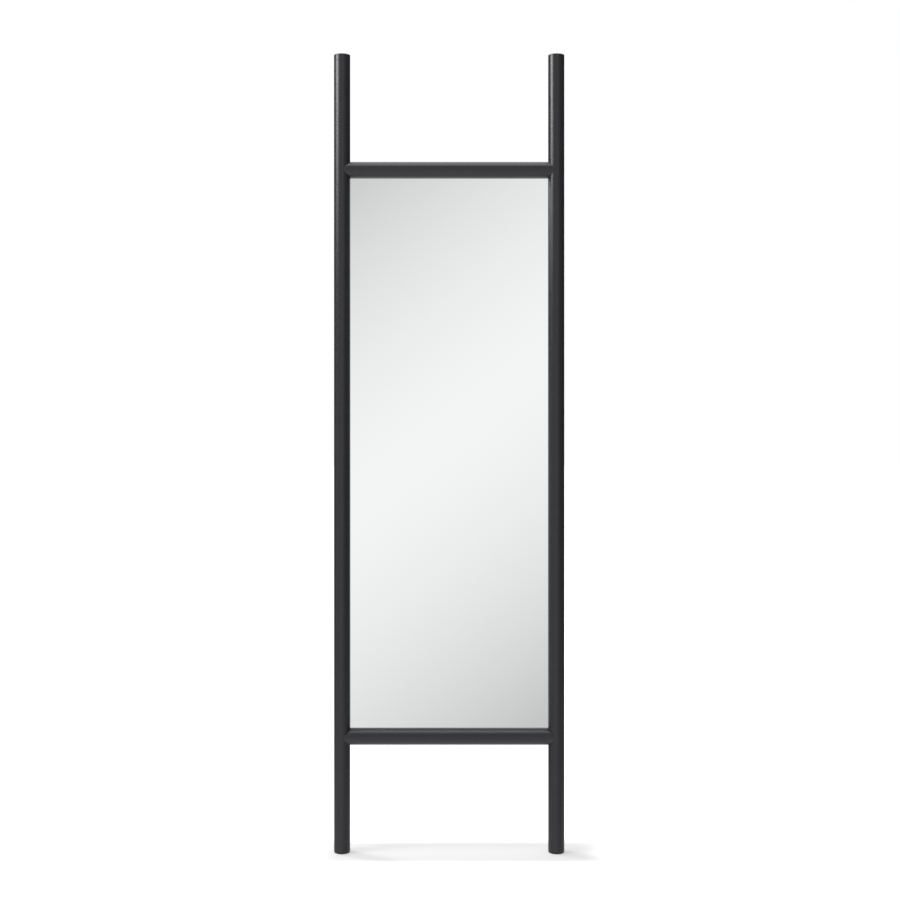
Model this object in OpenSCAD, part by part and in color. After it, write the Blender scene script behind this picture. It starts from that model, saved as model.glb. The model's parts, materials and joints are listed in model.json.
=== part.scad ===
// Full-length leaning mirror. Two round posts and two round rails, coped and dowelled
// together, hold a mirror and its backing board in a stepped rebate cut from behind.
// The front faces -Y. The origin is on the floor, midway between the posts.

/* [Frame] */
// Diameter of the round posts
post_d = 35; // [35:1:45]
// Diameter of the round rails
rail_d = 35; // [30:1:35]
// Distance between the middle lines of the posts
post_pitch = 465; // [350:5:700]
// Height of the bottom rail's middle line above the floor
foot_h = 250; // [60:5:500]
// Distance between the middle lines of the rails
rail_span = 1230; // [600:10:1600]
// Height of the posts above the top rail's middle line
horn_h = 250; // [110:5:400]
// Rounding of a post's edge at the top
top_round = 1.5; // [0.5:0.5:3]
// Rounding of a post's edge at the foot
foot_round = 0.5; // [0.2:0.1:2]
// Glue line between a rail's coped end and its post
glue_line = 0.1; // [0.05:0.05:0.3]

/* [Joint dowels] */
// Diameter of a dowel
dowel_d = 8; // [6:1:9]
// Length of a dowel
dowel_len = 40; // [30:1:50]
// Distance between the two dowels of a joint
dowel_pitch = 16; // [12:1:18]
// Depth of a dowel in the post, from the post's inner side
dowel_in_post = 18; // [12:1:24]
// Wood left between a dowel hole and the rebate
dowel_wall = 3; // [2:0.5:5]
// Chamfer at the ends of a dowel
dowel_chamfer = 1; // [0.5:0.5:2]
// Radial clearance of a dowel in its hole
dowel_fit = 0.05; // [0.02:0.01:0.1]
// Space for glue past each end of a dowel
dowel_end_gap = 1; // [0.5:0.5:3]

/* [Mirror] */
// Thickness of the glass
glass_t = 4; // [3:1:5]
// How far the glass's face lies behind the frame's middle plane
glass_set = 3; // [2:0.5:4.5]
// How far the glass reaches behind the posts and rails
glass_lap = 6; // [4:0.5:7]
// Clearance round the edge of the glass, which the setting blocks fill below
glass_gap = 1; // [0.5:0.5:1.5]
// Radius that the cutter leaves in the corners of the rebate
cutter_r = 5; // [3:0.5:8]
// Length of a setting block
block_len = 30; // [15:1:60]

/* [Backing] */
// Thickness of the backing board
board_t = 3; // [2.5:0.5:4]
// Width of the ledge that the board is screwed to
ledge_w = 11; // [10:0.5:12]
// Clearance round the edge of the board
board_gap = 0.5; // [0.2:0.1:1]
// Thickness of the foam tape between the glass and the board
tape_t = 1; // [0.5:0.1:1.5]
// Width of a tape strip
tape_w = 25; // [12:1:40]
// Number of tape strips
tape_count = 4; // [2:1:6]
// Distance from the end of a tape strip to the edge of the glass
tape_inset = 50; // [20:5:150]

/* [Board screws] */
// Diameter of a board screw's shank
board_screw_d = 3; // [2.5:0.5:4]
// Diameter of its countersunk head
board_screw_head_d = 6; // [5:0.5:7]
// Length of a board screw
board_screw_len = 16; // [12:1:18]
// Number of board screws along each post
post_screws = 6; // [3:1:10]
// Number of board screws along each rail
rail_screws = 2; // [1:1:4]

/* [All screws] */
// Length of a screw's point
screw_point = 3; // [2:0.5:4]
// Length of each slot of the cross in a screw's head
cross_len = 3; // [2:0.5:3.5]
// Width of each slot of the cross
cross_w = 0.7; // [0.4:0.1:1]
// Depth of the cross
cross_depth = 0.9; // [0.5:0.1:1.2]
// Radial clearance of a screw in its hole
screw_fit = 0.05; // [0.02:0.01:0.1]
// Space past the point of a screw
screw_end_gap = 1; // [0.5:0.5:3]

/* [Foot pads] */
// Diameter of a foot pad
pad_d = 34; // [26:1:35]
// Thickness of a foot pad
pad_t = 3; // [3:0.5:5]
// Chamfer round the lower edge of a foot pad
pad_chamfer = 0.5; // [0.2:0.1:1]
// Diameter of a foot screw's shank
foot_screw_d = 3.5; // [3:0.5:4]
// Diameter of its countersunk head
foot_screw_head_d = 7; // [6:0.5:7.5]
// Length of a foot screw
foot_screw_len = 25; // [20:5:40]
// Height of a foot screw's head above the floor
foot_screw_sink = 0.7; // [0.3:0.1:0.7]

/* [Wall bumpers] */
// Diameter of a bumper's head
bumper_d = 15; // [12:1:16]
// Thickness of a bumper's head
bumper_t = 4; // [3.5:0.5:6]
// How far a bumper stands out behind its post
bumper_proud = 1.5; // [1:0.5:1.5]
// Rounding of the rim of a bumper's head
bumper_round = 1; // [0.4:0.2:1.4]
// Diameter of a bumper's stem
bumper_stem_d = 6; // [4:1:8]
// Length of a bumper's stem
bumper_stem_len = 8; // [5:1:10]
// Distance from a bumper's middle to the top of its post
bumper_drop = 12; // [11:1:30]
// Radial clearance of a bumper's head and stem
bumper_gap = 0.2; // [0.1:0.1:0.4]

/* [Wall inserts] */
// Bore of an insert, at the full diameter of an M5 thread
insert_bore_d = 5; // [4:1:6]
// Outer diameter of an insert's barrel
insert_d = 8; // [7:1:9]
// Length of an insert, with its flange
insert_len = 12; // [8:1:15]
// Diameter of an insert's flange
insert_flange_d = 11; // [10:1:13]
// Thickness of an insert's flange
insert_flange_t = 1; // [0.8:0.2:1.6]
// Depth of the flange's outer face in the back of the post
insert_sink = 0.5; // [0.4:0.1:1]
// Height of an insert above the top rail's middle line
insert_rise = 60; // [30:5:90]
// Radial clearance of an insert in its hole
insert_fit = 0.05; // [0.02:0.01:0.1]
// Space past the inner end of an insert
insert_end_gap = 1; // [0.5:0.5:3]

/* [Hidden] */

black_paint = "#36393c";
silver = "#e3e7e6";
beech = "#c9a46f";
hardboard = "#5d4a3a";
rubber = "#1c1d1e";
foam = "#f1f1ec";
zinc = "#a9adb1";
brass = "#c2a14d";

// Signs of the sides along X and of the two rails along Z
left = -1;
right = 1;
low = -1;
high = 1;
both = [-1, 1];

// Length by which a cutter passes the surface that it opens
over = 1;
// Facets that a preview draws on bars and on holes
bar_fn = 96;
hole_fn = 48;

post_r = post_d / 2;
post_x = post_pitch / 2;
top_rail_z = foot_h + rail_span;
mirror_z = foot_h + rail_span / 2;
post_top = top_rail_z + horn_h;

// Sight size, then the glass, its step, and the pocket of the board, each wider
sight_w = post_pitch - post_d;
sight_h = rail_span - rail_d;
glass_w = sight_w + 2 * glass_lap;
glass_h = sight_h + 2 * glass_lap;
step_w = glass_w + 2 * glass_gap;
step_h = glass_h + 2 * glass_gap;
pocket_w = step_w + 2 * ledge_w;
pocket_h = step_h + 2 * ledge_w;
board_w = pocket_w - 2 * board_gap;
board_h = pocket_h - 2 * board_gap;

// Depths, counted from the frame's middle plane towards the back
glass_back = glass_set + glass_t;
ledge_y = glass_back + tape_t;
board_back = ledge_y + board_t;
dowel_y = glass_set - dowel_wall - dowel_d / 2;
bumper_seat_y = post_r + bumper_proud - bumper_t;
insert_back = post_r - insert_sink;
insert_seat_y = insert_back - insert_flange_t;

dowel_x = post_x - post_r + dowel_in_post - dowel_len / 2;
screw_x = (pocket_w - ledge_w) / 2;
screw_rise = (pocket_h - ledge_w) / 2;
bumper_z = post_top - bumper_drop;
insert_z = top_rail_z + insert_rise;

// Place of item i when count items stand in equal bays along a length
function bay(i, count, length) = length * ((i + 0.5) / count - 0.5);

// Bar with a rounded edge at each end, which may differ
module round_bar(d, bottom, top, bottom_edge, top_edge) {
    rotate_extrude($fn = bar_fn) {
        translate([0, bottom + bottom_edge])
            square([d / 2, top - bottom - bottom_edge - top_edge]);
        for (end = [[bottom, bottom_edge, 1], [top, top_edge, -1]])
            translate([0, end[0] + end[2] * end[1]]) {
                translate([d / 2 - end[1], 0]) circle(end[1], $fn = hole_fn);
                translate([0, -end[1]]) square([d / 2 - end[1], 2 * end[1]]);
            }
    }
}

// Upright plate with round corners, middled on the mirror, from one depth to another
module upright_plate(w, h, corner, front, back) {
    translate([0, back, mirror_z]) rotate([90, 0, 0]) linear_extrude(back - front) {
        square([w - 2 * corner, h], center = true);
        square([w, h - 2 * corner], center = true);
        for (x = both, y = both)
            translate([x * (w / 2 - corner), y * (h / 2 - corner)])
                circle(corner, $fn = hole_fn);
    }
}

// Round pin along Y, from one depth to another
module pin_y(d, front, back) {
    translate([0, front, 0]) rotate([-90, 0, 0]) cylinder(h = back - front, d = d, $fn = hole_fn);
}

// Two steps cut from behind: the inner one takes the glass, the outer one the board
module rebate() {
    upright_plate(step_w, step_h, cutter_r, glass_set, post_d);
    upright_plate(pocket_w, pocket_h, cutter_r, ledge_y, post_d);
}

module at_joint_dowels(side, rail_z) {
    for (i = both)
        translate([side * dowel_x, dowel_y, rail_z + i * dowel_pitch / 2])
            rotate([0, 90, 0]) children();
}

// Board screws point to the front, with their heads flush with the back of the board
module at_post_screws(side) {
    for (i = [0 : post_screws - 1])
        translate([side * screw_x, board_back, mirror_z + bay(i, post_screws, board_h)])
            rotate([90, 0, 0]) children();
}

module at_rail_screws(level) {
    for (i = [0 : rail_screws - 1])
        translate([bay(i, rail_screws, board_w), board_back, mirror_z + level * screw_rise])
            rotate([90, 0, 0]) children();
}

// Foot screws point up, with their heads sunk in the pads
module at_foot_screw(side) {
    translate([side * post_x, 0, foot_screw_sink]) children();
}

module dowel_hole() {
    length = dowel_len + 2 * dowel_end_gap;
    cylinder(h = length, d = dowel_d + 2 * dowel_fit, center = true, $fn = hole_fn);
}

// A screw lies along Z with the face of its head at zero, and so does its hole
module screw_hole(d, length) {
    translate([0, 0, -over])
        cylinder(h = over + length + screw_end_gap, d = d + 2 * screw_fit, $fn = hole_fn);
}

module countersunk_hole(d, head_d, length) {
    wide_d = head_d + 2 * screw_fit;
    narrow_d = d + 2 * screw_fit;
    screw_hole(d, length);
    cylinder(h = (head_d - d) / 2, d1 = wide_d, d2 = narrow_d, $fn = hole_fn);
    translate([0, 0, -over]) cylinder(h = over, d = wide_d, $fn = hole_fn);
}

module bumper_seat() {
    pin_y(bumper_d + 2 * bumper_gap, bumper_seat_y, post_r + over);
    pin_y(bumper_stem_d + 2 * bumper_gap, bumper_seat_y - bumper_stem_len - over, post_r);
}

module insert_seat() {
    pin_y(insert_flange_d + 2 * insert_fit, insert_seat_y, post_r + over);
    pin_y(insert_d + 2 * insert_fit, insert_back - insert_len - insert_end_gap, post_r);
}

module post(side) {
    difference() {
        translate([side * post_x, 0, 0])
            round_bar(post_d, pad_t, post_top, foot_round, top_round);
        rebate();
        for (z = [foot_h, top_rail_z]) at_joint_dowels(side, z) dowel_hole();
        at_post_screws(side) screw_hole(board_screw_d, board_screw_len);
        at_foot_screw(side) screw_hole(foot_screw_d, foot_screw_len);
        translate([side * post_x, 0, bumper_z]) bumper_seat();
        translate([side * post_x, 0, insert_z]) insert_seat();
    }
}

// The ends are coped: each wraps round its post by the post's own curve
module rail(level) {
    z = level == high ? top_rail_z : foot_h;
    difference() {
        translate([-post_x, 0, z]) rotate([0, 90, 0])
            cylinder(h = post_pitch, d = rail_d, $fn = bar_fn);
        for (side = both)
            translate([side * post_x, 0, z - rail_d])
                cylinder(h = 2 * rail_d, r = post_r + glue_line, $fn = bar_fn);
        rebate();
        for (side = both) at_joint_dowels(side, z) dowel_hole();
        at_rail_screws(level) screw_hole(board_screw_d, board_screw_len);
    }
}

module dowel() {
    tip_d = dowel_d - 2 * dowel_chamfer;
    body_len = dowel_len - 2 * dowel_chamfer;
    cylinder(h = body_len, d = dowel_d, center = true, $fn = hole_fn);
    for (turn = [0, 180])
        rotate([turn, 0, 0]) translate([0, 0, body_len / 2])
            cylinder(h = dowel_chamfer, d1 = dowel_d, d2 = tip_d, $fn = hole_fn);
}

// Countersunk screw with a cross in its head
module screw(d, head_d, length) {
    difference() {
        union() {
            cylinder(h = (head_d - d) / 2, d1 = head_d, d2 = d, $fn = hole_fn);
            cylinder(h = length - screw_point, d = d, $fn = hole_fn);
            translate([0, 0, length - screw_point])
                cylinder(h = screw_point, d1 = d, d2 = 0, $fn = hole_fn);
        }
        for (turn = [0, 90])
            rotate(turn) cube([cross_len, cross_w, 2 * cross_depth], center = true);
    }
}

module left_post() { color(black_paint) post(left); }
module right_post() { color(black_paint) post(right); }
module top_rail() { color(black_paint) rail(high); }
module bottom_rail() { color(black_paint) rail(low); }

module joint_dowels() {
    color(beech)
        for (side = both, z = [foot_h, top_rail_z]) at_joint_dowels(side, z) dowel();
}

module mirror_glass() {
    color(silver) upright_plate(glass_w, glass_h, cutter_r - glass_gap, glass_set, glass_back);
}

module setting_blocks() {
    color(rubber)
        for (i = [0, 1])
            translate([bay(i, 2, glass_w) - block_len / 2, glass_set, mirror_z - step_h / 2])
                cube([block_len, glass_t, glass_gap]);
}

module mounting_tape() {
    length = glass_h - 2 * tape_inset;
    color(foam)
        for (i = [0 : tape_count - 1])
            translate([bay(i, tape_count, glass_w) - tape_w / 2, glass_back, mirror_z - length / 2])
                cube([tape_w, tape_t, length]);
}

module backing_board() {
    color(hardboard) difference() {
        upright_plate(board_w, board_h, cutter_r - board_gap, ledge_y, board_back);
        for (side = both)
            at_post_screws(side)
                countersunk_hole(board_screw_d, board_screw_head_d, board_screw_len);
        for (level = both)
            at_rail_screws(level)
                countersunk_hole(board_screw_d, board_screw_head_d, board_screw_len);
    }
}

module board_screw() {
    screw(board_screw_d, board_screw_head_d, board_screw_len);
}

module backing_screws() {
    color(zinc) {
        for (side = both) at_post_screws(side) board_screw();
        for (level = both) at_rail_screws(level) board_screw();
    }
}

// Rubber disc screwed to the post's end, with the screw's head sunk in it
module foot_pad(side) {
    difference() {
        translate([side * post_x, 0, 0]) {
            cylinder(h = pad_chamfer, d1 = pad_d - 2 * pad_chamfer, d2 = pad_d, $fn = bar_fn);
            translate([0, 0, pad_chamfer])
                cylinder(h = pad_t - pad_chamfer, d = pad_d, $fn = bar_fn);
        }
        at_foot_screw(side) countersunk_hole(foot_screw_d, foot_screw_head_d, foot_screw_len);
    }
}

module foot_screws() {
    color(zinc)
        for (side = both)
            at_foot_screw(side) screw(foot_screw_d, foot_screw_head_d, foot_screw_len);
}

// Mushroom-shaped bumper: its stem is pressed into the post and its head meets the wall
module wall_bumper(side) {
    translate([side * post_x, bumper_seat_y, bumper_z]) rotate([-90, 0, 0]) {
        rotate_extrude($fn = bar_fn) {
            square([bumper_d / 2, bumper_t - bumper_round]);
            square([bumper_d / 2 - bumper_round, bumper_t]);
            translate([bumper_d / 2 - bumper_round, bumper_t - bumper_round])
                circle(bumper_round, $fn = hole_fn);
        }
        translate([0, 0, -bumper_stem_len])
            cylinder(h = bumper_stem_len + over, d = bumper_stem_d, $fn = hole_fn);
    }
}

module wall_insert(side) {
    translate([side * post_x, 0, insert_z]) difference() {
        union() {
            pin_y(insert_d, insert_back - insert_len, insert_back);
            pin_y(insert_flange_d, insert_seat_y, insert_back);
        }
        pin_y(insert_bore_d, insert_back - insert_len - over, insert_back + over);
    }
}

module left_foot_pad() { color(rubber) foot_pad(left); }
module right_foot_pad() { color(rubber) foot_pad(right); }
module left_wall_bumper() { color(rubber) wall_bumper(left); }
module right_wall_bumper() { color(rubber) wall_bumper(right); }
module left_wall_insert() { color(brass) wall_insert(left); }
module right_wall_insert() { color(brass) wall_insert(right); }

left_post();
right_post();
top_rail();
bottom_rail();
joint_dowels();
mirror_glass();
setting_blocks();
mounting_tape();
backing_board();
backing_screws();
left_foot_pad();
right_foot_pad();
foot_screws();
left_wall_bumper();
right_wall_bumper();
left_wall_insert();
right_wall_insert();
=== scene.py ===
import json
from math import pi, radians

import bpy
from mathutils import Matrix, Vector

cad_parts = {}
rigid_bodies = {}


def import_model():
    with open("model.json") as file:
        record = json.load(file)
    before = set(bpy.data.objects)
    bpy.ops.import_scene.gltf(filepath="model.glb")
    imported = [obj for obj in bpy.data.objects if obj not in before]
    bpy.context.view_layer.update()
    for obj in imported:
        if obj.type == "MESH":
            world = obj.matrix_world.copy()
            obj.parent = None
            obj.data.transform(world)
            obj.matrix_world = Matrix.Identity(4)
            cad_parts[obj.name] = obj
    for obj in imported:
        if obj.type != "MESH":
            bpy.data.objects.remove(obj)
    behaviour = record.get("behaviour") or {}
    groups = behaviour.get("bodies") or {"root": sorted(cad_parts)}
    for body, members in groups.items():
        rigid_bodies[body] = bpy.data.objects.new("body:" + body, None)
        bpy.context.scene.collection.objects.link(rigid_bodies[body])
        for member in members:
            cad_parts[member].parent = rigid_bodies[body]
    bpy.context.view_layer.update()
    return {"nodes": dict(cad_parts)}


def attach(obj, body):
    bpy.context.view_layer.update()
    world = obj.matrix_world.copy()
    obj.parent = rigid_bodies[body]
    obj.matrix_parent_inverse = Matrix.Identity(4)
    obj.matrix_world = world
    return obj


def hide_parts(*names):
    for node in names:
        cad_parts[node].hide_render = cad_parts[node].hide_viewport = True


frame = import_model()
cadNodes = frame["nodes"]
print("frame loaded:", len(cadNodes), "nodes")

# sizes of the frame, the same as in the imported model, in metres
frameSize = {
    "postRadius": 0.0175,
    "railRadius": 0.0175,
    "postX": 0.2325,
    "footRailZ": 0.25,
    "topRailZ": 1.48,
    "postFoot": 0.003,
    "postTop": 1.73,
    "glassFace": 0.003,
    "glassBack": 0.007,
    "ledge": 0.008,          # the board lies against it
}
mirrorZ = (frameSize["footRailZ"] + frameSize["topRailZ"]) / 2
sightWide = 2 * (frameSize["postX"] - frameSize["postRadius"])
sightHigh = frameSize["topRailZ"] - frameSize["footRailZ"] - 2 * frameSize["railRadius"]

# how many sides a round piece or cutter has
sidesOf = {"bar": 128, "saddle": 192, "hole": 48}


def deselectAll():
    for thing in bpy.data.objects:
        thing.select_set(False)
    bpy.context.view_layer.objects.active = None


def pickOnly(piece):
    deselectAll()
    piece.select_set(True)
    bpy.context.view_layer.objects.active = piece


def settle(piece):
    # the place goes into the mesh, and the object stays at the origin
    pickOnly(piece)
    bpy.ops.object.transform_apply(location=True, rotation=True, scale=True)
    return piece


def roundBar(name, radius, length, middle, turn=(0, 0, 0), sides=sidesOf["bar"]):
    deselectAll()
    bpy.ops.mesh.primitive_cylinder_add(
        vertices=sides, radius=radius, depth=length, location=middle, rotation=turn)
    bar = bpy.context.object
    bar.name = name
    bar.data.name = name
    return settle(bar)


def ringsAt(bar, axis, places):
    # rings round the bar keep what is cut or softened at one place from bending its long faces
    pickOnly(bar)
    bpy.ops.object.mode_set(mode="EDIT")
    for place in places:
        bpy.ops.mesh.select_all(action="SELECT")
        bpy.ops.mesh.bisect(plane_co=[place * part for part in axis], plane_no=axis)
    bpy.ops.object.mode_set(mode="OBJECT")


def markEdges(piece, wanted):
    # ends in edit mode, with just the wanted edges picked
    pickOnly(piece)
    bpy.ops.object.mode_set(mode="EDIT")
    bpy.ops.mesh.select_mode(type="EDGE")
    bpy.ops.mesh.select_all(action="DESELECT")
    bpy.ops.object.mode_set(mode="OBJECT")
    mesh = piece.data
    for edge in mesh.edges:
        edge.select = wanted(*(mesh.vertices[i].co for i in edge.vertices))
    bpy.ops.object.mode_set(mode="EDIT")


def softenEdges(piece, wanted, width, steps):
    markEdges(piece, wanted)
    bpy.ops.mesh.bevel(offset=width, segments=steps, profile=0.5, affect="EDGES")
    bpy.ops.object.mode_set(mode="OBJECT")


def cutAway(piece, cutters):
    for cutter in cutters:
        pickOnly(piece)
        cut = piece.modifiers.new("cut", "BOOLEAN")
        cut.operation = "DIFFERENCE"
        cut.solver = "EXACT"
        cut.object = cutter
        bpy.ops.object.modifier_apply(modifier=cut.name)
        bpy.data.objects.remove(cutter)


def asOne(cutters):
    # cutters that don't touch each other cut cleaner as one
    pickOnly(cutters[0])
    for cutter in cutters:
        cutter.select_set(True)
    bpy.ops.object.join()
    return cutters[0]


def smoothShading(piece, angle=28):
    # the long faces of the bar set the normals, and the small faces at the rims follow them
    pickOnly(piece)
    bpy.ops.object.shade_smooth_by_angle(angle=radians(angle))
    weigh = piece.modifiers.new("weigh", "WEIGHTED_NORMAL")
    weigh.mode = "FACE_AREA"
    weigh.weight = 100
    weigh.keep_sharp = True
    bpy.ops.object.modifier_apply(modifier=weigh.name)


# the rebate has two steps, cut from behind: one for the glass and one for the board
rebateSize = {
    "glassStep": 0.007,      # past the sight edge, all round
    "boardPocket": 0.018,    # the same for the board
    "corner": 0.005,
    "cornerSteps": 10,
    "cutterBack": 0.035,
}
pocketWide = sightWide + 2 * rebateSize["boardPocket"]
pocketHigh = sightHigh + 2 * rebateSize["boardPocket"]


def plateCutter(past, face):
    deep = rebateSize["cutterBack"] - face
    deselectAll()
    bpy.ops.mesh.primitive_cube_add(
        size=1, location=(0, face + deep / 2, mirrorZ),
        scale=(sightWide + 2 * past, deep, sightHigh + 2 * past))
    cutter = settle(bpy.context.object)
    # the four edges that run front to back take the radius of the cutter
    softenEdges(cutter, lambda a, b: abs(a.y - b.y) > deep / 2,
                rebateSize["corner"], rebateSize["cornerSteps"])
    return cutter


def rebateCutters():
    return [plateCutter(rebateSize["glassStep"], frameSize["glassFace"]),
            plateCutter(rebateSize["boardPocket"], frameSize["ledge"])]


# holes for the dowels, the screws, the bumpers and the inserts
holeSize = {
    "dowel": {"radius": 0.00405, "length": 0.042, "x": 0.213, "y": -0.004, "rise": 0.008},
    "boardScrew": {"radius": 0.00155, "tip": -0.006, "back": 0.012, "fromEdge": 0.0055,
                   "perPost": 6, "perRail": 2, "boardGap": 0.0005},
    "footScrew": {"radius": 0.0018, "tip": 0.0267},
    "bumper": {"z": 1.718, "headRadius": 0.0077, "seat": 0.015, "stemRadius": 0.0032,
               "end": 0.006},
    "insert": {"z": 1.54, "headRadius": 0.00555, "seat": 0.016, "stemRadius": 0.00405,
               "end": 0.004},
    "behind": 0.02,          # where the seats are cut from
    "overlap": 0.001,        # how far a stem's hole runs into its seat
}


def holeAlongY(radius, front, back, x, z):
    return roundBar("hole", radius, back - front, (x, (front + back) / 2, z), (pi / 2, 0, 0),
                    sidesOf["hole"])


def screwHole(x, z):
    screw = holeSize["boardScrew"]
    return holeAlongY(screw["radius"], screw["tip"], screw["back"], x, z)


def spread(count, pocketLength):
    # middles of equal bays along the board
    length = pocketLength - 2 * holeSize["boardScrew"]["boardGap"]
    return [length * ((i + 0.5) / count - 0.5) for i in range(count)]


def dowelHoles(side, railZ):
    dowel = holeSize["dowel"]
    return [roundBar("hole", dowel["radius"], dowel["length"],
                     (side * dowel["x"], dowel["y"], railZ + up * dowel["rise"]),
                     (0, pi / 2, 0), sidesOf["hole"])
            for up in (-1, 1)]


def seatHeads(x):
    return [holeAlongY(part["headRadius"], part["seat"], holeSize["behind"], x, part["z"])
            for part in (holeSize["bumper"], holeSize["insert"])]


def seatStems(x):
    return [holeAlongY(part["stemRadius"], part["end"], part["seat"] + holeSize["overlap"],
                       x, part["z"])
            for part in (holeSize["bumper"], holeSize["insert"])]


# the posts: round bar with softened ends, cut for everything that sits in it
postEdge = {
    "top": 0.0015,
    "foot": 0.0005,
    "steps": 6,
    "ring": 0.004,           # from each end to the first ring
    "joint": 0.03,           # from a rail's middle line to the rings above and below it
    "near": 0.00001,         # as close as this counts as at the end
}


def makePost(name, side):
    foot, top = frameSize["postFoot"], frameSize["postTop"]
    lowRail, highRail = frameSize["footRailZ"], frameSize["topRailZ"]
    x = side * frameSize["postX"]
    post = roundBar(name, frameSize["postRadius"], top - foot, (x, 0, (top + foot) / 2))
    ringsAt(post, (0, 0, 1), [
        foot + postEdge["ring"],
        lowRail - postEdge["joint"], lowRail + postEdge["joint"],
        highRail - postEdge["joint"], highRail + postEdge["joint"],
        top - postEdge["ring"]])
    softenEdges(post, lambda a, b: min(a.z, b.z) > top - postEdge["near"],
                postEdge["top"], postEdge["steps"])
    softenEdges(post, lambda a, b: max(a.z, b.z) < foot + postEdge["near"],
                postEdge["foot"], postEdge["steps"])
    screw = holeSize["boardScrew"]
    holes = dowelHoles(side, lowRail) + dowelHoles(side, highRail)
    holes += [screwHole(side * (pocketWide / 2 - screw["fromEdge"]), mirrorZ + rise)
              for rise in spread(screw["perPost"], pocketHigh)]
    footScrew = holeSize["footScrew"]
    holes.append(roundBar("hole", footScrew["radius"], footScrew["tip"],
                          (x, 0, footScrew["tip"] / 2), sides=sidesOf["hole"]))
    cutAway(post, rebateCutters() + [asOne(holes + seatHeads(x)), asOne(seatStems(x))])
    smoothShading(post)
    return post


# the rails: coped at both ends to the curve of the posts
railCope = {
    "radius": 0.0176,
    "cutter": 0.07,          # length of the cutter
    "edge": 0.0015,
    "steps": 5,
    "ring": 0.208,           # from the middle to the ring before each saddle
    "merge": 0.00025,
    "rimStep": 0.003,        # an edge of the rim is shorter than this
    "near": 0.00002,         # and its middle is as close as this to both round faces
}


def makeRail(name, railZ, level):
    rail = roundBar(name, frameSize["railRadius"], 2 * frameSize["postX"], (0, 0, railZ),
                    (0, pi / 2, 0))
    ringsAt(rail, (1, 0, 0), [-railCope["ring"], railCope["ring"]])
    cutAway(rail, [roundBar("cope", railCope["radius"], railCope["cutter"],
                            (side * frameSize["postX"], 0, railZ), sides=sidesOf["saddle"])
                   for side in (-1, 1)])
    screw = holeSize["boardScrew"]
    holes = dowelHoles(-1, railZ) + dowelHoles(1, railZ)
    holes += [screwHole(x, mirrorZ + level * (pocketHigh / 2 - screw["fromEdge"]))
              for x in spread(screw["perRail"], pocketWide)]
    cutAway(rail, rebateCutters() + [asOne(holes)])

    # what shows of each saddle's rim is softened, in front and above and below
    def onRim(a, b):
        middle = (a + b) / 2
        fromRail = (middle.y ** 2 + (middle.z - railZ) ** 2) ** 0.5
        fromPost = ((abs(middle.x) - frameSize["postX"]) ** 2 + middle.y ** 2) ** 0.5
        return (a - b).length < railCope["rimStep"] \
            and abs(fromRail - frameSize["railRadius"]) < railCope["near"] \
            and abs(fromPost - railCope["radius"]) < railCope["near"]

    # points that the cut left almost on each other become one first
    markEdges(rail, onRim)
    bpy.ops.mesh.remove_doubles(threshold=railCope["merge"])
    bpy.ops.object.mode_set(mode="OBJECT")
    softenEdges(rail, onRim, railCope["edge"], railCope["steps"])
    smoothShading(rail)
    return rail


newPieces = {
    "left_post": makePost("leftPost", -1),
    "right_post": makePost("rightPost", 1),
    "top_rail": makeRail("topRail", frameSize["topRailZ"], 1),
    "bottom_rail": makeRail("bottomRail", frameSize["footRailZ"], -1),
}
for node, piece in newPieces.items():
    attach(piece, "root")
    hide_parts(node)
print("posts and rails made")


def newFinish(name):
    finish = bpy.data.materials.new(name)
    finish.use_nodes = True
    nodes, links = finish.node_tree.nodes, finish.node_tree.links
    return finish, nodes, links, nodes["Principled BSDF"]


def grainNoise(nodes, links, stretch, scale, detail=4.0, rough=0.55):
    place = nodes.new("ShaderNodeTexCoord")
    along = nodes.new("ShaderNodeMapping")
    along.inputs["Scale"].default_value = stretch
    noise = nodes.new("ShaderNodeTexNoise")
    noise.inputs["Scale"].default_value = scale
    noise.inputs["Detail"].default_value = detail
    noise.inputs["Roughness"].default_value = rough
    links.new(place.outputs["Object"], along.inputs["Vector"])
    links.new(along.outputs["Vector"], noise.inputs["Vector"])
    return noise.outputs["Fac"]


def placeOn(nodes, links, coordinates):
    # the separate X, Y and Z of a place or a direction
    place = nodes.new("ShaderNodeTexCoord")
    split = nodes.new("ShaderNodeSeparateXYZ")
    links.new(place.outputs[coordinates], split.inputs["Vector"])
    return split.outputs


def between(nodes, links, source, low, high, fromLow=0.15, fromHigh=0.85):
    span = nodes.new("ShaderNodeMapRange")
    span.inputs["From Min"].default_value = fromLow
    span.inputs["From Max"].default_value = fromHigh
    span.inputs["To Min"].default_value = low
    span.inputs["To Max"].default_value = high
    links.new(source, span.inputs["Value"])
    return span.outputs["Result"]


def worked(nodes, links, operation, first, second):
    step = nodes.new("ShaderNodeMath")
    step.operation = operation
    for socket, value in zip(step.inputs, (first, second)):
        if isinstance(value, (int, float)):
            socket.default_value = value
        else:
            links.new(value, socket)
    return step.outputs[0]


def twoTone(nodes, links, source, dark, light, stops=(0.25, 0.75)):
    ramp = nodes.new("ShaderNodeValToRGB")
    ramp.color_ramp.interpolation = "EASE"
    for stop, position, colour in zip(ramp.color_ramp.elements, stops, (dark, light)):
        stop.position = position
        stop.color = (*colour, 1)
    links.new(source, ramp.inputs["Fac"])
    return ramp.outputs["Color"]


def reliefOf(nodes, links, height, strength, depth, shader):
    bump = nodes.new("ShaderNodeBump")
    bump.inputs["Strength"].default_value = strength
    bump.inputs["Distance"].default_value = depth
    links.new(height, bump.inputs["Height"])
    links.new(bump.outputs["Normal"], shader.inputs["Normal"])


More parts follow.
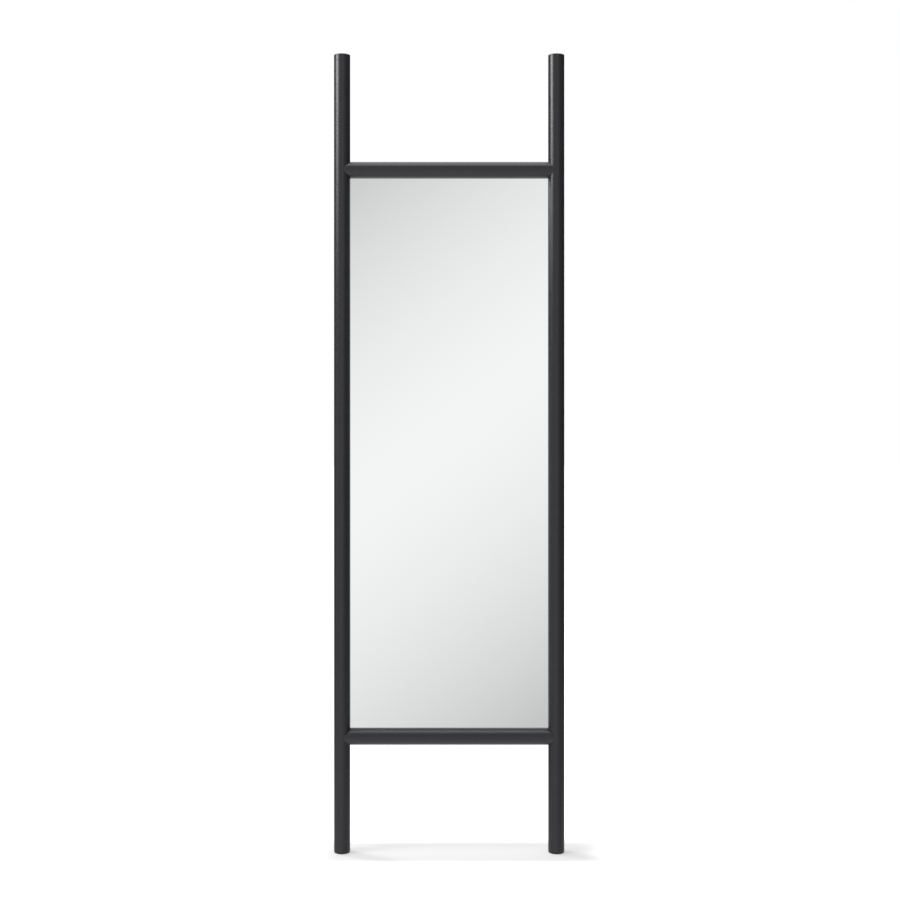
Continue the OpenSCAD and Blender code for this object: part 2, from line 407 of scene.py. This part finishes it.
# black satin paint over fine wood grain
satinPaint = {
    "dark": (0.0232, 0.0235, 0.0290),
    "light": (0.0262, 0.0265, 0.0326),
    "cloudScale": 30,
    "rough": (0.27, 0.31),
    "grainScale": 1400,
    "grainDetail": 3.0,
    "grainStrength": 0.3,
    "grainDepth": 0.00001,
    "alongPosts": (1, 1, 0.03),
    "alongRails": (0.03, 1, 1),
}


def satinBlack(name, stretch):
    paint = satinPaint
    finish, nodes, links, shader = newFinish(name)
    cloud = grainNoise(nodes, links, (1, 1, 1), paint["cloudScale"])
    grain = grainNoise(nodes, links, stretch, paint["grainScale"], paint["grainDetail"])
    links.new(twoTone(nodes, links, cloud, paint["dark"], paint["light"]),
              shader.inputs["Base Color"])
    links.new(between(nodes, links, cloud, *paint["rough"]), shader.inputs["Roughness"])
    reliefOf(nodes, links, grain, paint["grainStrength"], paint["grainDepth"], shader)
    return finish


# silver in front, green glass at the edge, grey paint behind
mirrorFinish = {
    "silver": (0.930, 0.942, 0.940),
    "edge": (0.16, 0.30, 0.25),
    "backPaint": (0.22, 0.23, 0.235),
    "speckleDark": 0.9,
    "speckleScale": 600,
    "skin": (0.0001, 0.0003),    # the silver and the paint end between these depths
    "rough": (0.35, 0.004),      # of edge and paint, and of the silver
}


def silveredGlass():
    finish, nodes, links, shader = newFinish("silveredGlass")
    front, back = frameSize["glassFace"], frameSize["glassBack"]
    thin, thick = mirrorFinish["skin"]
    depth = placeOn(nodes, links, "Object")["Y"]
    towardFront = between(nodes, links, depth, 1, 0, front + thin, front + thick)
    towardBack = between(nodes, links, depth, 0, 1, back - thick, back - thin)
    speckle = grainNoise(nodes, links, (1, 1, 1), mirrorFinish["speckleScale"])
    paint = twoTone(nodes, links, speckle,
                    tuple(mirrorFinish["speckleDark"] * c for c in mirrorFinish["backPaint"]),
                    mirrorFinish["backPaint"])
    behind = nodes.new("ShaderNodeMix")
    behind.data_type = "RGBA"
    behind.inputs["A"].default_value = (*mirrorFinish["edge"], 1)
    links.new(towardBack, behind.inputs["Factor"])
    links.new(paint, behind.inputs["B"])
    whole = nodes.new("ShaderNodeMix")
    whole.data_type = "RGBA"
    whole.inputs["B"].default_value = (*mirrorFinish["silver"], 1)
    links.new(towardFront, whole.inputs["Factor"])
    links.new(behind.outputs["Result"], whole.inputs["A"])
    links.new(whole.outputs["Result"], shader.inputs["Base Color"])
    links.new(towardFront, shader.inputs["Metallic"])
    links.new(between(nodes, links, towardFront, *mirrorFinish["rough"], 0, 1),
              shader.inputs["Roughness"])
    return finish


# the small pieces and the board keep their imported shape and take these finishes
smallFinishes = {
    "brownHardboard": {
        "nodes": ["backing_board"],
        "dark": (0.085, 0.052, 0.031), "light": (0.140, 0.090, 0.056),
        "scale": 260, "stretch": (1, 1, 1), "rough": (0.62, 0.78),
        "relief": 0.4, "depth": 0.0002, "metal": 0.0},
    "plainBeech": {
        "nodes": ["joint_dowels"],
        "dark": (0.50, 0.31, 0.13), "light": (0.64, 0.42, 0.20),
        "scale": 500, "stretch": (0.05, 1, 1), "rough": (0.5, 0.62),
        "relief": 0.3, "depth": 0.0001, "metal": 0.0},
    "whiteFoam": {
        "nodes": ["mounting_tape"],
        "dark": (0.80, 0.80, 0.75), "light": (0.90, 0.90, 0.86),
        "scale": 1500, "stretch": (1, 1, 1), "rough": (0.85, 0.95),
        "relief": 0.5, "depth": 0.0002, "metal": 0.0},
    "blackRubber": {
        "nodes": ["left_foot_pad", "right_foot_pad", "left_wall_bumper", "right_wall_bumper",
                  "setting_blocks"],
        "dark": (0.009, 0.010, 0.011), "light": (0.015, 0.016, 0.017),
        "scale": 900, "stretch": (1, 1, 1), "rough": (0.62, 0.74),
        "relief": 0.35, "depth": 0.00008, "metal": 0.0},
    "brightZinc": {
        "nodes": ["backing_screws", "foot_screws"],
        "dark": (0.36, 0.38, 0.40), "light": (0.48, 0.50, 0.52),
        "scale": 700, "stretch": (1, 1, 1), "rough": (0.24, 0.36),
        "relief": 0.2, "depth": 0.00003, "metal": 1.0},
    "turnedBrass": {
        "nodes": ["left_wall_insert", "right_wall_insert"],
        "dark": (0.48, 0.31, 0.06), "light": (0.62, 0.42, 0.10),
        "scale": 1200, "stretch": (1, 0.2, 1), "rough": (0.22, 0.34),
        "relief": 0.2, "depth": 0.00003, "metal": 1.0},
}


def smallFinish(name, look):
    finish, nodes, links, shader = newFinish(name)
    spots = grainNoise(nodes, links, look["stretch"], look["scale"])
    links.new(twoTone(nodes, links, spots, look["dark"], look["light"]),
              shader.inputs["Base Color"])
    links.new(between(nodes, links, spots, *look["rough"]), shader.inputs["Roughness"])
    reliefOf(nodes, links, spots, look["relief"], look["depth"], shader)
    shader.inputs["Metallic"].default_value = look["metal"]
    return finish


def paintNode(node, finish):
    cadNodes[node].data.materials.clear()
    cadNodes[node].data.materials.append(finish)


for name, along, barNodes in (
        ("satinBlackPosts", satinPaint["alongPosts"], ("left_post", "right_post")),
        ("satinBlackRails", satinPaint["alongRails"], ("top_rail", "bottom_rail"))):
    barPaint = satinBlack(name, along)
    for node in barNodes:
        newPieces[node].data.materials.append(barPaint)
        paintNode(node, barPaint)
paintNode("mirror_glass", silveredGlass())
for name, look in smallFinishes.items():
    finish = smallFinish(name, look)
    for node in look["nodes"]:
        paintNode(node, finish)
print("finishes set")

# a pale floor, white to the camera but for a narrow patch that keeps the object's shadow
floorSet = {
    "wide": 30,
    "drop": 0.0003,          # below the feet
    "colour": (0.55, 0.55, 0.55, 1),
    "rough": 0.9,
    "patchGlow": 0.365,      # what the camera sees on top of the lit floor, in the patch
    "whiteGlow": 1.02,       # and everywhere else
    # the patch along each axis: its middle, and how far out it starts and ends to fade
    "patch": {"X": (0.02, 0.255, 0.4), "Y": (0.0, 0.045, 0.1)},
}


def makeFloor():
    deselectAll()
    bpy.ops.mesh.primitive_plane_add(size=floorSet["wide"], location=(0, 0, -floorSet["drop"]))
    floor = settle(bpy.context.object)
    floor.name = "floor"
    finish, nodes, links, shader = newFinish("paleFloor")
    shader.inputs["Base Color"].default_value = floorSet["colour"]
    shader.inputs["Roughness"].default_value = floorSet["rough"]
    shader.inputs["Specular IOR Level"].default_value = 0.0
    place = placeOn(nodes, links, "Object")
    kept = []
    for axis, (middle, start, end) in floorSet["patch"].items():
        off = worked(nodes, links, "SUBTRACT", place[axis], middle)
        inside = between(nodes, links, worked(nodes, links, "ABSOLUTE", off, 0), 1, 0, start, end)
        inside.node.interpolation_type = "SMOOTHSTEP"
        kept.append(inside)
    shaded = worked(nodes, links, "MULTIPLY", *kept)
    glow = nodes.new("ShaderNodeEmission")
    links.new(between(nodes, links, shaded, floorSet["whiteGlow"], floorSet["patchGlow"], 0, 1),
              glow.inputs["Strength"])
    both = nodes.new("ShaderNodeAddShader")
    links.new(shader.outputs["BSDF"], both.inputs[0])
    links.new(glow.outputs["Emission"], both.inputs[1])
    path = nodes.new("ShaderNodeLightPath")
    choose = nodes.new("ShaderNodeMixShader")
    links.new(path.outputs["Is Camera Ray"], choose.inputs["Fac"])
    links.new(shader.outputs["BSDF"], choose.inputs[1])
    links.new(both.outputs["Shader"], choose.inputs[2])
    links.new(choose.outputs["Shader"], nodes["Material Output"].inputs["Surface"])
    floor.data.materials.append(finish)
    floor.visible_glossy = False


# a soft box on the left, seen only as the highlight along the posts
softBox = {
    "x": -3.0,
    "front": -3.4, "dim": -1.5, "back": -0.05,    # it fades from dim to front
    "low": 1.1, "full": 2.5, "high": 3.2,         # brighter from low to full
    "strength": 12.5,
    "rise": 2.6,
    "sideFade": 2,
    "sideLeast": 0.02,
}


def makeSoftBox():
    box = softBox
    deselectAll()
    bpy.ops.mesh.primitive_plane_add(
        size=1, rotation=(0, pi / 2, 0),
        location=(box["x"], (box["front"] + box["back"]) / 2, (box["low"] + box["high"]) / 2))
    panel = bpy.context.object
    panel.scale = (box["high"] - box["low"], box["back"] - box["front"], 1)
    settle(panel)
    panel.name = "leftSoftBox"
    finish = bpy.data.materials.new("softBoxCloth")
    finish.use_nodes = True
    nodes, links = finish.node_tree.nodes, finish.node_tree.links
    nodes.clear()
    place = placeOn(nodes, links, "Object")
    rise = between(nodes, links, place["Z"], 0, 1, box["low"], box["full"])
    curve = worked(nodes, links, "POWER", rise, box["rise"])
    side = between(nodes, links, place["Y"], box["sideLeast"], 1, box["front"], box["dim"])
    fade = worked(nodes, links, "POWER", side, box["sideFade"])
    level = worked(nodes, links, "MULTIPLY", worked(nodes, links, "MULTIPLY", curve, fade),
                   box["strength"])
    glow = nodes.new("ShaderNodeEmission")
    links.new(level, glow.inputs["Strength"])
    out = nodes.new("ShaderNodeOutputMaterial")
    links.new(glow.outputs["Emission"], out.inputs["Surface"])
    panel.data.materials.append(finish)
    panel.visible_camera = False
    panel.visible_diffuse = False
    panel.visible_shadow = False


# the side lamp stays out of the gloss, because the soft box gives the highlight there
lamps = {
    "topLamp": {"place": (0, 0.25, 3.3), "aim": (0, 0, 0.8), "size": (2.8, 2.7),
                "power": 46, "inGloss": True},
    "sideLamp": {"place": (-1.7, -0.48, 1.9), "aim": (0, 0, 0.3), "size": (0.6, 0.6),
                 "power": 16, "inGloss": False},
    "rimLamp": {"place": (-2.6, 1.4, 4.1), "aim": (-0.2, 0, 1.2), "size": (0.9, 0.9),
                "power": 60, "inGloss": True},
}


def addLamp(name, lamp):
    deselectAll()
    bpy.ops.object.light_add(type="AREA", location=lamp["place"])
    light = bpy.context.object
    light.name = name
    light.data.shape = "RECTANGLE"
    light.data.size, light.data.size_y = lamp["size"]
    light.data.energy = lamp["power"]
    look = Vector(lamp["aim"]) - Vector(lamp["place"])
    light.rotation_euler = look.to_track_quat("-Z", "Y").to_euler()
    light.visible_glossy = lamp["inGloss"]


# the surround: white to the camera, soft light for the rest, and a gradient in the mirror
surround = {
    "ambient": 0.345,
    "sides": (1.15, 0.75, -0.8, 0.8),       # brighter from the left than from the right
    "back": (1, 2.0, 0.1, 0.7),             # and brighter from behind
    # the brightest line as a mirror shows it, and how it falls off
    "across": 0.596, "up": -0.803, "offset": -0.0255, "reach": 0.181, "leastDepth": 0.05,
    "bright": 0.907, "fall": 0.285, "power": 1.67, "least": 0.56,
    # what gloss sees far to the right, behind, and on the pale floor
    "glossRight": (1, 0.35, 0.35, 0.85),
    "glossBehind": (1, 0.1, -0.15, 0.3),
    "glossFloor": (1.0, 0, -0.36, -0.26),
}


def makeSurround():
    soft = surround
    world = bpy.data.worlds.new("studio")
    bpy.context.scene.world = world
    world.use_nodes = True
    nodes, links = world.node_tree.nodes, world.node_tree.links
    nodes.clear()
    direction = placeOn(nodes, links, "Generated")
    x, y, z = (direction[axis] for axis in "XYZ")
    depth = worked(nodes, links, "MAXIMUM", worked(nodes, links, "ABSOLUTE", y, 0),
                   soft["leastDepth"])
    across = worked(nodes, links, "MULTIPLY", worked(nodes, links, "DIVIDE", x, depth),
                    soft["across"])
    up = worked(nodes, links, "MULTIPLY", worked(nodes, links, "DIVIDE", z, depth), soft["up"])
    line = worked(nodes, links, "ADD", worked(nodes, links, "ADD", across, up), soft["offset"])
    away = worked(nodes, links, "DIVIDE", worked(nodes, links, "ABSOLUTE", line, 0),
                  soft["reach"])
    fall = worked(nodes, links, "MULTIPLY", worked(nodes, links, "POWER", away, soft["power"]),
                  soft["fall"])
    seen = worked(nodes, links, "MAXIMUM",
                  worked(nodes, links, "SUBTRACT", soft["bright"], fall), soft["least"])
    seen = worked(nodes, links, "DIVIDE", seen, mirrorFinish["silver"][1])
    rightSide = between(nodes, links, x, *soft["glossRight"])
    behind = between(nodes, links, y, *soft["glossBehind"])
    seen = worked(nodes, links, "MULTIPLY", worked(nodes, links, "MULTIPLY", seen, rightSide),
                  behind)
    seen = worked(nodes, links, "MAXIMUM", seen, between(nodes, links, z, *soft["glossFloor"]))
    path = nodes.new("ShaderNodeLightPath")
    gloss = worked(nodes, links, "MAXIMUM", path.outputs["Is Glossy Ray"],
                   path.outputs["Is Transmission Ray"])
    lit = worked(nodes, links, "MULTIPLY", between(nodes, links, x, *soft["sides"]),
                 between(nodes, links, y, *soft["back"]))
    level = nodes.new("ShaderNodeMix")
    links.new(worked(nodes, links, "MULTIPLY", lit, soft["ambient"]), level.inputs["A"])
    links.new(gloss, level.inputs["Factor"])
    links.new(seen, level.inputs["B"])
    shown = nodes.new("ShaderNodeMix")
    shown.inputs["B"].default_value = 1
    links.new(path.outputs["Is Camera Ray"], shown.inputs["Factor"])
    links.new(level.outputs["Result"], shown.inputs["A"])
    sky = nodes.new("ShaderNodeBackground")
    sky.inputs["Color"].default_value = (1, 1, 1, 1)
    links.new(shown.outputs["Result"], sky.inputs["Strength"])
    out = nodes.new("ShaderNodeOutputWorld")
    links.new(sky.outputs["Background"], out.inputs["Surface"])
    world.cycles.sampling_method = "NONE"    # the surround isn't sampled as a lamp


makeFloor()
makeSoftBox()
for name, lamp in lamps.items():
    addLamp(name, lamp)
makeSurround()
bpy.context.scene.view_settings.view_transform = "Standard"
print("studio lit")

# square on, a little above the mirror's middle
cameraSet = {"place": (0.0018, -3.04, 1.007), "lens": 56.0, "sensor": 36.0, "shiftUp": -0.0689}

deselectAll()
bpy.ops.object.camera_add(location=cameraSet["place"], rotation=(pi / 2, 0, 0))
camera = bpy.context.object
camera.data.lens = cameraSet["lens"]
camera.data.sensor_width = cameraSet["sensor"]
camera.data.shift_y = cameraSet["shiftUp"]
bpy.context.scene.camera = camera
print("camera placed")
